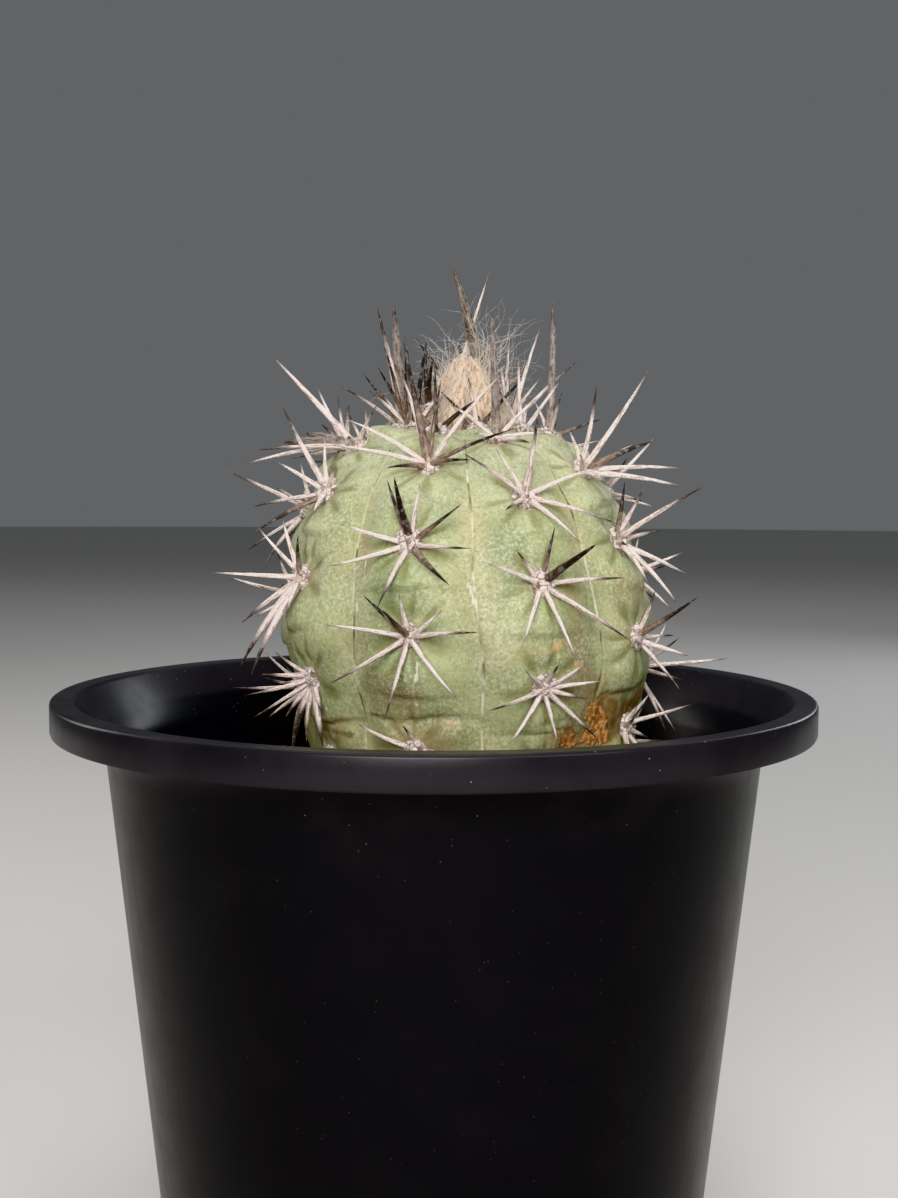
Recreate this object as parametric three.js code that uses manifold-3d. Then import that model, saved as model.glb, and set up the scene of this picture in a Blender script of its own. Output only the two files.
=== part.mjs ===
// A ribbed, spiny globular cactus growing in a round plastic nursery pot.
// Millimetres, +Z up. The origin is the centre of the pot's base, on the surface that it stands on.
// Seen from the front, along +Y, +X is to the right.
import * as THREE from "three";
import { mergeVertices } from "three/addons/utils/BufferGeometryUtils.js";
import Module from "manifold-3d";

const wasm = await Module();
wasm.setup();

// Driving dimensions
const gap = 0.3; // clearance kept between neighbouring solids

const pot = {
  height: 102,
  segments: 48,
  rimRadius: 60,
  rimWidth: 3.6, // flat top of the rim
  skirtHeight: 5, // band that hangs from the rim's outer edge
  shoulderDrop: 9.5, // the wall curves in from the rim down to this far below it
  neckRadius: 51.6, // outside of the wall under the shoulder
  shoulderOut: 1.6, // the shoulder's curve has turned out this far
  shoulderUp: 3.4, // after rising this far
  baseRadius: 41.5,
  baseChamfer: 1.5,
  wall: 1.2,
  drainHoles: 6,
  drainRadius: 4,
  drainCircle: 25,
  drainSides: 16,
};

const soil = {
  drop: 17, // soil surface below the rim
  mound: 1.2, // rise of the surface towards the stem
  grit: 0.7, // unevenness of the surface
  rings: [0.94, 0.8, 0.66, 0.52], // parts of the radius that the surface has vertices at
  segments: 32,
};

const stem = {
  ribs: 9,
  frontRib: -14.5, // degrees round from the front to the first rib
  offset: 5.9, // the stem grows this far to the right of the pot's axis
  lean: -0.055, // sideways shift for each millimetre above the rim
  nod: 0.09, // how much the crown tips towards the front
  nodHeights: [10, 42], // the tipping sets in between these heights above the rim
  grooveDepth: 4.3,
  grooveHeights: [-20, 8], // grooves deepen between these heights above the rim
  grooveRadii: [2, 22], // and fade towards the middle of the crown between these radii
  buriedGroove: 0.35, // share of the depth that is left under the soil
  ribRoundness: 2.2, // 2 is a parabola from groove to groove
  notchDepth: 1.7, // each areole sits in a shallow notch of its rib
  notchLength: 4.5,
  columnsPerRib: 6,
  rows: 27,
};

const wool = {
  radius: 9,
  height: 14,
  taper: 1.4, // 1 is a cone, more is a fuller mound
  ragged: 0.1,
  offset: 1,
  sink: 2,
  segments: 12,
  rings: 4,
  closesFrom: 38, // it closes round the areoles that stand higher than this above the rim
};

const pad = { width: 4.6, length: 5, rise: 1.2 }; // the felt cushion that carries the spines

const spine = {
  thickness: 1.2, // at the foot
  footCircle: 1.4, // a flat spine starts this far out from the middle of its pad
};

// Crest of a rib, from the buried base up to the middle of the crown: radius, height above the rim.
const crest = new THREE.SplineCurve(
  [
    [0, -27],
    [12, -26],
    [21, -22.5],
    [25.3, -15],
    [26.6, -8],
    [27.2, -2.5],
    [28.8, 2],
    [30.4, 8],
    [29.9, 14],
    [28.4, 21.5],
    [25.8, 29.5],
    [22.6, 35.5],
    [18, 39.6],
    [12.5, 41.8],
    [8, 42],
    [3.5, 41],
    [0, 40.5],
  ].map(([r, z]) => new THREE.Vector2(r, z)),
);

// Areoles down each rib from the front one round to the right: millimetres along the crest from the
// middle of the crown. Neighbouring ribs are staggered by about half a step.
const areoleRows = [
  [13, 22.5, 36, 50.5, 67.5],
  [9.5, 16.5, 28.5, 42.5, 58, 71],
  [13, 24.5, 36.5, 51.5, 66],
  [10, 17, 29.5, 43, 58.5, 71],
  [13.5, 24.5, 37.5, 51.5, 67],
  [10, 17.5, 30, 43.5, 59, 71],
  [15, 25.5, 37, 51, 67],
  [10.5, 21, 32.5, 46.5, 62],
  [10.5, 19, 28.5, 42.5, 58, 71],
];

// Ribs wander a little: degrees that an areole is turned from its rib's even place.
const areoleTurn = {
  "1.2": 4, "1.5": -2, "2.3": 1, "2.5": -1.5, "3.2": -3, "3.4": -5, "9.2": -9, "9.3": -3, "9.4": -5,
};

// Young areoles that stand in the wool: degrees round from the front, distance from the middle of the
// crown, height above the rim.
const crownAreoles = [
  [114, 4.6, 47.5],
  [-165, 4.2, 47.5],
  [-60, 5.2, 45.5],
];

// Spines of the areoles that face the front, by rib and areole: clock direction in degrees (0 points up
// the rib, 90 to the right seen from outside), lean away from straight out, length, thickness if stout.
const spineTable = {
  "crown.1": [[0, 48, 20.5, 1.8], [60, 46, 9], [170, 40, 8]],
  "crown.2": [[-30, 38, 20, 1.3], [60, 40, 10], [150, 34, 8]],
  "crown.3": [[0, 31, 10, 1.3], [-75, 46, 8], [75, 46, 9]],
  "1.1": [[0, 14, 10.5, 1.3], [-62, 60, 7.5], [72, 60, 8.5], [165, 66, 6]],
  "2.1": [[-60, 50, 8], [70, 52, 12, 1.3], [0, 30, 9]],
  "3.1": [[178, 26, 9.5], [-50, 50, 9], [60, 56, 8], [0, 20, 11]],
  "4.1": [[178, 44, 16.5, 1.5], [165, 52, 17, 1.3], [-80, 50, 9], [0, 8, 10]],
  "4.2": [[0, 24, 21, 1.7], [-70, 64, 9], [70, 60, 10], [175, 50, 9]],
  "7.1": [[28, 25, 20, 1.7], [46, 28, 20.5, 1.3], [-60, 50, 12], [100, 56, 13], [-150, 60, 9]],
  "1.2": [
    [-96, 70, 15], [-71, 70, 14.5], [-21, 60, 14.5], [8, 60, 13], [-14, 38, 18, 1.8],
    [50, 60, 18], [84, 68, 14.5], [107, 70, 8], [-137, 70, 8],
  ],
  "1.3": [
    [-80, 70, 10.5], [-115, 70, 12.5], [-165, 70, 12], [134, 70, 11], [100, 70, 11],
    [61, 70, 10.5], [16, 66, 9], [-18, 66, 9.5], [0, 40, 11, 1.8],
  ],
  "1.4": [
    [-83, 72, 12], [-124, 70, 13.5], [-170, 68, 12.5], [134, 70, 13], [85, 70, 12.5],
    [57, 68, 8], [0, 60, 7], [-44, 68, 8.5], [5, 18, 12, 1.7],
  ],
  "1.5": [
    [-60, 70, 9], [88, 70, 12], [0, 50, 6], [-115, 68, 10], [130, 68, 11], [180, 65, 9],
  ],
  "2.2": [
    [-20, 20, 19, 1.8], [110, 75, 7.5], [160, 72, 7], [-120, 72, 6.5], [60, 62, 10], [-75, 62, 9],
  ],
  "2.3": [
    [-67, 70, 12.5], [-123, 70, 7], [157, 70, 11.5], [124, 70, 14], [77, 70, 12.5],
    [-40, 66, 8.5], [-4, 38, 13, 1.7],
  ],
  "2.4": [
    [-77, 70, 11], [-47, 66, 7], [12, 66, 8.5], [58, 66, 9.5], [48, 24, 12, 1.7],
    [91, 70, 12], [134, 70, 15, 1.3], [174, 70, 13], [-145, 70, 13],
  ],
  "2.5": [
    [40, 66, 8], [73, 70, 8.5], [92, 58, 6], [131, 70, 10.5], [168, 70, 8],
    [-136, 70, 10], [-96, 70, 11], [-46, 66, 7], [5, 60, 6],
  ],
  "3.2": [
    [0, 14, 18, 1.8], [-10, 38, 13], [87, 60, 11.5], [118, 60, 17], [134, 62, 16],
    [-20, 66, 6.5], [100, 46, 12.5], [-95, 66, 10], [-140, 68, 9],
  ],
  "3.3": [
    [0, 11, 15.5, 1.7], [4, 44, 9], [-6, 62, 9], [93, 50, 7.5], [150, 54, 11.5],
    [165, 71, 13.5], [-110, 62, 5], [-75, 66, 9], [-150, 68, 10],
  ],
  "3.4": [
    [0, 28, 11.5, 1.6], [-4, 62, 8], [93, 60, 6.5], [138, 35, 8], [168, 59, 10], [-95, 66, 9],
  ],
  "3.5": [
    [0, 27, 11.5, 1.3], [115, 60, 5], [4, 60, 7], [-22, 62, 5], [-65, 62, 8], [-120, 66, 8],
    [150, 66, 8],
  ],
  "4.3": [
    [0, 19, 12.5, 1.6], [175, 44, 9.5], [-60, 66, 9], [60, 66, 9], [120, 66, 10], [-120, 66, 8],
  ],
  "4.4": [
    [0, 6, 9.5, 1.5], [150, 62, 8], [-150, 66, 9], [-85, 66, 8], [85, 66, 9], [20, 62, 8],
  ],
  "8.2": [
    [-30, 50, 9], [30, 56, 8], [-80, 64, 8], [85, 64, 9], [-140, 66, 9], [150, 66, 9], [0, 16, 11, 1.4],
  ],
  "8.3": [
    [0, 6, 15, 1.7], [180, 52, 12.5], [168, 72, 11.5], [-155, 70, 7.5], [-70, 66, 9], [75, 66, 10],
    [0, 62, 8],
  ],
  "8.4": [
    [0, 8, 11, 1.5], [150, 44, 7], [-150, 66, 10], [-85, 66, 9], [80, 66, 9], [-20, 62, 8],
  ],
  "9.2": [
    [-100, 22, 19, 2], [-112, 58, 9], [-130, 64, 12.5], [-148, 70, 18], [-165, 76, 15.5],
    [60, 64, 9], [110, 70, 8],
  ],
  "9.3": [
    [-22, 45, 14.5, 1.6], [-73, 45, 9.5], [0, 66, 8.5], [63, 72, 6.5], [-121, 60, 12.5],
    [-160, 74, 12.5], [-142, 64, 4.5], [130, 70, 8],
  ],
  "9.4": [
    [-125, 12, 13.3, 1.6], [-31, 50, 10], [-20, 72, 9.5], [14, 74, 6.5], [-151, 57, 11.5],
    [-163, 71, 16.5, 1.5], [-174, 74, 16.5], [160, 74, 7.5],
  ],
  "9.5": [
    [-60, 16, 10.5, 1.3], [-24, 62, 7], [-36, 32, 8], [-80, 40, 5], [-125, 26, 10.5],
    [-144, 50, 7.5], [-158, 60, 7.5], [-172, 68, 10], [168, 74, 10.5, 1.4], [140, 74, 6.5],
  ],
};

// Areoles with no row of their own take one of these patterns, with a little variation: the crown's
// pattern nearer to the middle than youngWithin, the buried one further away than buriedBeyond.
const youngWithin = 15;
const buriedBeyond = 65;
const variation = { clock: 9, lean: 4, length: 0.14 };
const usualSpines = [
  [0, 20, 14, 1.6], [15, 66, 9.5], [62, 68, 10.5], [100, 70, 12], [138, 70, 13],
  [-178, 69, 12.5], [-135, 70, 13], [-92, 70, 12], [-45, 68, 9.5],
];
const buriedSpines = [[10, 60, 7], [72, 64, 9], [-72, 64, 9], [108, 62, 8], [-112, 62, 8]];
const crownSpines = [[-30, 14, 14, 1.5], [70, 24, 12, 1.3], [150, 40, 11], [-140, 46, 10], [40, 52, 8]];

// Colours
const plastic = new THREE.MeshStandardMaterial({ color: 0x141416, roughness: 0.42 });
const earth = new THREE.MeshStandardMaterial({ color: 0x4a3a2c, roughness: 0.95 });
const flesh = new THREE.MeshStandardMaterial({ color: 0xa9ad86, roughness: 0.75 });
const fluff = new THREE.MeshStandardMaterial({ color: 0xcdb48e, roughness: 1 });
const horn = new THREE.MeshStandardMaterial({ color: 0xd8cdc6, roughness: 0.6 });

// Solids
function solidFrom(geometry) {
  const bare = geometry.clone();
  bare.deleteAttribute("normal");
  bare.deleteAttribute("uv");
  const merged = mergeVertices(bare, 1e-4);
  return new wasm.Manifold(
    new wasm.Mesh({
      numProp: 3,
      vertProperties: merged.attributes.position.array,
      triVerts: new Uint32Array(merged.index.array),
    }),
  );
}

function geometryFrom(solid) {
  const mesh = solid.getMesh();
  const geometry = new THREE.BufferGeometry();
  geometry.setAttribute("position", new THREE.BufferAttribute(mesh.vertProperties, 3));
  geometry.setIndex(new THREE.BufferAttribute(mesh.triVerts, 1));
  geometry.computeVertexNormals();
  return geometry;
}

function largestBody(solid) {
  return solid.decompose().reduce((best, body) => (body.volume() > best.volume() ? body : best));
}

// A closed skin over rings of points, from the bottom up; a ring of one point closes an end.
function skin(rings) {
  const positions = [];
  const index = [];
  const starts = rings.map((ring) => {
    const start = positions.length / 3;
    ring.forEach((p) => positions.push(p.x, p.y, p.z));
    return start;
  });
  for (let row = 0; row + 1 < rings.length; row += 1) {
    const low = rings[row].length;
    const high = rings[row + 1].length;
    for (let i = 0; i < Math.max(low, high); i += 1) {
      const a = starts[row] + (i % low);
      const b = starts[row] + ((i + 1) % low);
      const c = starts[row + 1] + ((i + 1) % high);
      const d = starts[row + 1] + (i % high);
      if (low > 1) index.push(a, b, c);
      if (high > 1) index.push(a, c, d);
    }
  }
  const geometry = new THREE.BufferGeometry();
  geometry.setAttribute("position", new THREE.Float32BufferAttribute(positions, 3));
  geometry.setIndex(index);
  return geometry;
}

// Repeatable scatter between -1 and 1
let seed = 7;
function scatter() {
  seed = (seed * 16807) % 2147483647;
  return (seed / 2147483647) * 2 - 1;
}

const degrees = Math.PI / 180;

// Pot
function wallRadius(height) {
  const top = pot.height - pot.shoulderDrop;
  return THREE.MathUtils.mapLinear(height, 0, top, pot.baseRadius, pot.neckRadius);
}

function potGeometry() {
  const { height, rimRadius, skirtHeight, neckRadius, baseRadius, baseChamfer, wall } = pot;
  const { shoulderDrop, shoulderOut, shoulderUp } = pot;
  const lip = rimRadius - pot.rimWidth;
  const outside = [
    [0, 0],
    [baseRadius - baseChamfer, 0],
    [wallRadius(baseChamfer), baseChamfer],
    [neckRadius, height - shoulderDrop],
    [neckRadius + shoulderOut, height - shoulderDrop + shoulderUp],
    [lip + wall / 2, height - 2 * wall],
    [rimRadius - wall, height - wall],
    [rimRadius - wall, height - skirtHeight],
    [rimRadius, height - skirtHeight],
    [rimRadius, height - wall / 3],
    [rimRadius - wall / 3, height],
  ];
  const inside = [
    [lip, height],
    [neckRadius + shoulderOut - wall, height - shoulderDrop + shoulderUp + wall / 2],
    [neckRadius - wall, height - shoulderDrop],
    [wallRadius(wall) - wall, wall],
    [0, wall],
  ];
  const profile = [...outside, ...inside].map(([r, z]) => new THREE.Vector2(r, z));
  const shell = new THREE.LatheGeometry(profile, pot.segments).rotateX(Math.PI / 2);
  let solid = solidFrom(shell);
  for (let hole = 0; hole < pot.drainHoles; hole += 1) {
    const angle = (hole * 2 * Math.PI) / pot.drainHoles;
    const drill = new THREE.CylinderGeometry(pot.drainRadius, pot.drainRadius, 4 * wall, pot.drainSides);
    drill.rotateX(Math.PI / 2);
    drill.translate(pot.drainCircle * Math.cos(angle), pot.drainCircle * Math.sin(angle), 0);
    solid = solid.subtract(solidFrom(drill));
  }
  return geometryFrom(solid);
}

// Stem
function grooveDepth(radius, height) {
  const aboveSoil = THREE.MathUtils.smoothstep(height, ...stem.grooveHeights);
  const crown = THREE.MathUtils.smoothstep(radius, ...stem.grooveRadii);
  return stem.grooveDepth * THREE.MathUtils.lerp(stem.buriedGroove, 1, aboveSoil) * crown;
}

function ribNotch(rib, fromCrown) {
  return areoleRows[rib].reduce((deepest, areole) => {
    const away = Math.abs(fromCrown - areole) / stem.notchLength;
    return Math.max(deepest, stem.notchDepth * Math.exp(-away * away));
  }, 0);
}

function leaned(point) {
  const height = point.z - pot.height;
  const crown = THREE.MathUtils.smoothstep(height, ...stem.nodHeights);
  point.x += stem.offset + stem.lean * height;
  point.z += stem.nod * crown * point.y;
  return point;
}

// A point of the stem: degrees round from the front, fraction of the crest from base to crown.
function stemPoint(angle, along, grow = 0) {
  const { x: radius, y: height } = crest.getPointAt(along);
  const tangent = crest.getTangentAt(along);
  const turn = (((angle - stem.frontRib) * stem.ribs) / 360 + stem.ribs) % stem.ribs;
  const offCrest = Math.abs(turn - Math.round(turn)) * 2;
  const rib = Math.round(turn) % stem.ribs;
  const fromCrown = (1 - along) * crest.getLength();
  const side = (1 - offCrest) ** 2;
  const r =
    radius - grooveDepth(radius, height) * offCrest ** stem.ribRoundness - ribNotch(rib, fromCrown) * side;
  const outward = r + grow * tangent.y;
  return leaned(
    new THREE.Vector3(
      outward * Math.sin(angle * degrees),
      -outward * Math.cos(angle * degrees),
      pot.height + height - grow * tangent.x,
    ),
  );
}

function stemGeometry(grow = 0) {
  const columns = stem.ribs * stem.columnsPerRib;
  const rings = [];
  for (let row = 0; row <= stem.rows; row += 1) {
    const count = row === 0 || row === stem.rows ? 1 : columns;
    const ring = [];
    for (let column = 0; column < count; column += 1) {
      ring.push(stemPoint(stem.frontRib + (360 * column) / columns, row / stem.rows, grow));
    }
    rings.push(ring);
  }
  return skin(rings);
}

// Areoles and spines: side points to the right seen from outside, up towards the crown, out away.
function frameAt(centre, angle, up) {
  const side = new THREE.Vector3(Math.cos(angle * degrees), Math.sin(angle * degrees), 0);
  return { centre, side, up, out: side.clone().cross(up).normalize() };
}

function ribFrame(rib, areole) {
  const angle = stem.frontRib + (rib * 360) / stem.ribs + (areoleTurn[`${rib + 1}.${areole + 1}`] ?? 0);
  const along = 1 - areoleRows[rib][areole] / crest.getLength();
  const reach = 0.02;
  const up = stemPoint(angle, along + reach).sub(stemPoint(angle, along - reach)).normalize();
  return frameAt(stemPoint(angle, along), angle, up);
}

function crownFrame([angle, radius, height]) {
  const outward = new THREE.Vector3(Math.sin(angle * degrees), -Math.cos(angle * degrees), 0);
  const centre = leaned(outward.clone().multiplyScalar(radius).setZ(pot.height + height));
  const up = outward.clone().multiplyScalar(-1).setZ(0.6).normalize();
  return frameAt(centre, angle, up);
}

function spinePath(frame, [clock, lean, length, thickness = spine.thickness]) {
  const direction = frame.out
    .clone()
    .multiplyScalar(Math.cos(lean * degrees))
    .addScaledVector(frame.up, Math.sin(lean * degrees) * Math.cos(clock * degrees))
    .addScaledVector(frame.side, Math.sin(lean * degrees) * Math.sin(clock * degrees));
  const middle = frame.centre.clone().addScaledVector(frame.out, gap + pad.rise / 3);
  const foot = direction.clone().addScaledVector(frame.out, -Math.cos(lean * degrees));
  return {
    start: middle.clone().addScaledVector(foot, spine.footCircle),
    tip: middle.clone().addScaledVector(direction, length),
    thickness,
  };
}

function segmentDistance(a, b, c, d) {
  const u = b.clone().sub(a);
  const v = d.clone().sub(c);
  const w = a.clone().sub(c);
  const uu = u.dot(u);
  const uv = u.dot(v);
  const vv = v.dot(v);
  const det = uu * vv - uv * uv;
  let s = det < 1e-9 ? 0 : THREE.MathUtils.clamp((uv * v.dot(w) - vv * u.dot(w)) / det, 0, 1);
  const t = THREE.MathUtils.clamp((uv * s + v.dot(w)) / vv, 0, 1);
  s = THREE.MathUtils.clamp((uv * t - u.dot(w)) / uu, 0, 1);
  return a.clone().addScaledVector(u, s).distanceTo(c.clone().addScaledVector(v, t));
}

function spinesClear(one, other) {
  const needed = (one.thickness + other.thickness) / 2 + gap / 2;
  return segmentDistance(one.start, one.tip, other.start, other.tip) > needed;
}

// A spine's first choice of direction, or the nearest one that clears the spines of other areoles:
// degrees that it is turned round the areole and lifted from the stem.
const turnsToTry = [0, 4, -4, 8, -8, 13, -13, 20, -20];
const liftsToTry = [0, 5, 10, 16, 24];
function placeSpine(frame, [clock, lean, length, thickness], others) {
  for (const turn of turnsToTry) {
    for (const lift of liftsToTry) {
      const path = spinePath(frame, [clock + turn, lean - lift, length, thickness]);
      if (others.every((other) => spinesClear(path, other))) return path;
    }
  }
  return null;
}

function spineSolid({ start, tip, thickness }) {
  const axis = tip.clone().sub(start).normalize();
  const across = new THREE.Vector3(0, 0, 1).cross(axis).normalize();
  const over = axis.clone().cross(across);
  const foot = [0, 120, 240].map((turn) =>
    start
      .clone()
      .addScaledVector(across, (thickness / 2) * Math.cos(turn * degrees))
      .addScaledVector(over, (thickness / 2) * Math.sin(turn * degrees)),
  );
  return solidFrom(skin([[start], foot, [tip]]));
}

function areoleSolid({ frame, paths }, grow = 0) {
  const cushion = new THREE.SphereGeometry(1, 7, 4).rotateX(Math.PI / 2);
  cushion.scale(pad.width / 2 + grow, pad.length / 2 + grow, pad.rise + gap + grow);
  cushion.applyMatrix4(new THREE.Matrix4().makeBasis(frame.side, frame.up, frame.out));
  cushion.translate(frame.centre.x, frame.centre.y, frame.centre.z);
  return paths.reduce((solid, path) => solid.add(spineSolid(path)), solidFrom(cushion));
}

function spinesFor(place, fromCrown) {
  if (spineTable[place]) return spineTable[place];
  let pattern = usualSpines;
  if (fromCrown < youngWithin) pattern = crownSpines;
  if (fromCrown > buriedBeyond) pattern = buriedSpines;
  return pattern.map(([clock, lean, length, thickness]) => [
    clock + variation.clock * scatter(),
    lean + variation.lean * scatter(),
    length * (1 + variation.length * scatter()),
    thickness,
  ]);
}

// Wool and soil
function woolGeometry(neighbours) {
  const base = leaned(new THREE.Vector3(wool.offset, 0, pot.height + crest.getPointAt(1).y));
  const rings = [[base.clone().setZ(base.z - wool.sink)]];
  for (let row = 0; row < wool.rings; row += 1) {
    const rise = row / wool.rings;
    const radius = wool.radius * (1 - rise ** wool.taper);
    const ring = [];
    for (let i = 0; i < wool.segments; i += 1) {
      const angle = (i * 2 * Math.PI) / wool.segments;
      const r = radius * (1 + wool.ragged * scatter());
      ring.push(
        new THREE.Vector3(
          base.x + r * Math.cos(angle),
          base.y + r * Math.sin(angle),
          base.z - wool.sink + gap / 2 + rise * (wool.height + wool.sink),
        ),
      );
    }
    rings.push(ring);
  }
  rings.push([base.clone().setZ(base.z + wool.height)]);
  const mound = neighbours.reduce((solid, other) => solid.subtract(other), solidFrom(skin(rings)));
  return geometryFrom(largestBody(mound));
}

// A round hollow in the soil that the buried end of the stem stands in, cut up to the rim's height.
function stemPocket() {
  const buried = crest.getSpacedPoints(stem.rows).filter((point) => point.y < 0);
  const profile = buried.map(({ x, y }) => new THREE.Vector2(x === 0 ? 0 : x + 2 * gap, y - gap));
  profile.push(new THREE.Vector2(0, profile.at(-1).y));
  const pocket = new THREE.LatheGeometry(profile, soil.segments).rotateX(Math.PI / 2);
  return pocket.translate(stem.offset - stem.lean * soil.drop, 0, pot.height);
}

function soilGeometry() {
  const top = pot.height - soil.drop;
  const bottom = pot.wall + gap;
  const ringOf = (radius, height, roughness) =>
    Array.from({ length: soil.segments }, (_, i) => {
      const angle = (i * 2 * Math.PI) / soil.segments;
      const z = height + roughness * scatter();
      return new THREE.Vector3(radius * Math.cos(angle), radius * Math.sin(angle), z);
    });
  const inner = (height) => wallRadius(height) - pot.wall - gap;
  const rings = [
    [new THREE.Vector3(0, 0, bottom)],
    ringOf(inner(bottom), bottom, 0),
    ringOf(inner(top), top, 0),
    ...soil.rings.map((part) =>
      ringOf(part * inner(top), top + soil.mound * (1 - part), soil.grit),
    ),
    [new THREE.Vector3(0, 0, top)],
  ];
  return geometryFrom(solidFrom(skin(rings)).subtract(solidFrom(stemPocket())));
}

// Assembly
const root = new THREE.Group();
function add(name, geometry, material) {
  const mesh = new THREE.Mesh(geometry, material);
  mesh.name = name;
  root.add(mesh);
}

const stemClearance = solidFrom(stemGeometry(gap));
add("pot", potGeometry(), plastic);
add("soil", soilGeometry(), earth);
add("stem", stemGeometry(), flesh);

const areoles = [];
function plant(name, place, frame, fromCrown) {
  const others = areoles.flatMap((areole) => areole.paths);
  const wanted = spinesFor(place, fromCrown);
  const paths = wanted.map((row) => placeSpine(frame, row, others)).filter((path) => path !== null);
  areoles.push({ name, frame, paths });
}

crownAreoles.forEach((at, number) => {
  plant(`crown_areole_${number + 1}`, `crown.${number + 1}`, crownFrame(at), 0);
});
for (const listed of [true, false]) {
  areoleRows.forEach((row, rib) => {
    for (let areole = row.length - 1; areole >= 0; areole -= 1) {
      const place = `${rib + 1}.${areole + 1}`;
      if (listed === place in spineTable) {
        plant(`rib_${rib + 1}_areole_${areole + 1}`, place, ribFrame(rib, areole), row[areole]);
      }
    }
  });
}

areoles.forEach((areole) => {
  add(areole.name, geometryFrom(largestBody(areoleSolid(areole).subtract(stemClearance))), horn);
});

// The wool closes round the young areoles and their spines.
const thicker = (path) => ({ ...path, thickness: path.thickness + 4 * gap });
const throughWool = areoles
  .filter(({ frame }) => frame.centre.z > pot.height + wool.closesFrom)
  .map(({ frame, paths }) => areoleSolid({ frame, paths: paths.map(thicker) }, gap));
add("crown_wool", woolGeometry([stemClearance, ...throughWool]), fluff);

export default root;
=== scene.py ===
import math
import random

import bmesh
import bpy
import numpy as np
from mathutils import Matrix, Vector, noise
from mathutils.bvhtree import BVHTree
from mathutils.kdtree import KDTree


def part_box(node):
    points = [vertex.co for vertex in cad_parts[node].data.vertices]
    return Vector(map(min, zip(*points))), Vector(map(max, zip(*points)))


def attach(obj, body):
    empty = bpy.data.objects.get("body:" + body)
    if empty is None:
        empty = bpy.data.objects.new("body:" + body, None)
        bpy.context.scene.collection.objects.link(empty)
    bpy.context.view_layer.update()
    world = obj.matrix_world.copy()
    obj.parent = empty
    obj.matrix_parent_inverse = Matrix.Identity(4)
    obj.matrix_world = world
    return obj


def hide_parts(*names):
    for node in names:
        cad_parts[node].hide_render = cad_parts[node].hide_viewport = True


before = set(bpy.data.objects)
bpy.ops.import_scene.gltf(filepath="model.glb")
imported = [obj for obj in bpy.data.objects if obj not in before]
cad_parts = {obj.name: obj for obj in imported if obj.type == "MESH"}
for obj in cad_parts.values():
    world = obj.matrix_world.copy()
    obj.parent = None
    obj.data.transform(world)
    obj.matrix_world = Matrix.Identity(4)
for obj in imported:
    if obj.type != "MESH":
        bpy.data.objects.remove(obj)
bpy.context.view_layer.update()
mm = 0.001
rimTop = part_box("pot")[1].z
print("frame loaded:", len(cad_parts), "nodes")


# Camera: the photograph's own view, as a place, three turns and a focal length in pixels
cameraView = {
    "eye": (0.01491, -0.23925, 0.13336),
    "pitchDown": 0.069,       # radians, as the next two are
    "yaw": -0.053,
    "roll": 0.005,
    "focalPixels": 1500,
    "imageSize": (898, 1198),
    "sensorHeight": 36,
    "clipStart": 0.01,
}


def cameraAxes():
    yaw, pitch, roll = cameraView["yaw"], cameraView["pitchDown"], cameraView["roll"]
    ahead = Vector((math.sin(yaw) * math.cos(pitch), math.cos(yaw) * math.cos(pitch), -math.sin(pitch)))
    level = Vector((math.cos(yaw), -math.sin(yaw), 0))
    upright = level.cross(ahead)
    right = level * math.cos(roll) + upright * math.sin(roll)
    up = upright * math.cos(roll) - level * math.sin(roll)
    return right, up, ahead


def makeCamera():
    right, up, ahead = cameraAxes()
    data = bpy.data.cameras.new("photo_camera")
    data.sensor_fit = "VERTICAL"
    data.sensor_height = cameraView["sensorHeight"]
    data.sensor_width = cameraView["sensorHeight"]
    data.lens = cameraView["focalPixels"] * cameraView["sensorHeight"] / cameraView["imageSize"][1]
    data.clip_start = cameraView["clipStart"]
    camera = bpy.data.objects.new("photo_camera", data)
    bpy.context.scene.collection.objects.link(camera)
    turned = Matrix((right, up, -ahead)).transposed().to_4x4()
    camera.matrix_world = Matrix.Translation(cameraView["eye"]) @ turned
    bpy.context.scene.camera = camera


def rayThrough(px, py):
    # the direction that a pixel of the 898 x 1198 picture looks along
    right, up, ahead = cameraAxes()
    width, height = cameraView["imageSize"]
    focal = cameraView["focalPixels"]
    return (ahead + right * ((px - width / 2) / focal) - up * ((py - height / 2) / focal)).normalized()


def pixelOf(point):
    right, up, ahead = cameraAxes()
    width, height = cameraView["imageSize"]
    away = Vector(point) - Vector(cameraView["eye"])
    scale = cameraView["focalPixels"] / away.dot(ahead)
    return Vector((width / 2 + scale * away.dot(right), height / 2 - scale * away.dot(up)))


# Small helpers for objects and meshes
def deselectAll():
    if bpy.context.object and bpy.context.object.mode != "OBJECT":
        bpy.ops.object.mode_set(mode="OBJECT")
    bpy.ops.object.select_all(action="DESELECT")


def makeActive(piece):
    deselectAll()
    piece.hide_set(False)
    piece.select_set(True)
    bpy.context.view_layer.objects.active = piece


def applyModifier(piece, kind, **settings):
    makeActive(piece)
    modifier = piece.modifiers.new(kind.lower(), kind)
    for name, value in settings.items():
        setattr(modifier, name, value)
    bpy.ops.object.modifier_apply(modifier=modifier.name)


def copyOfNode(node, name):
    # a copy of a CAD node's mesh, with its loose triangles joined
    piece = bpy.data.objects.new(name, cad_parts[node].data.copy())
    bpy.context.scene.collection.objects.link(piece)
    piece.data.materials.clear()
    makeActive(piece)
    bpy.ops.object.mode_set(mode="EDIT")
    bpy.ops.mesh.select_all(action="SELECT")
    bpy.ops.mesh.remove_doubles(threshold=0.002 * mm)
    bpy.ops.mesh.customdata_custom_splitnormals_clear()
    bpy.ops.object.mode_set(mode="OBJECT")
    return piece


def applyPlace(piece):
    makeActive(piece)
    bpy.ops.object.transform_apply(location=True, rotation=True, scale=True)


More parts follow.
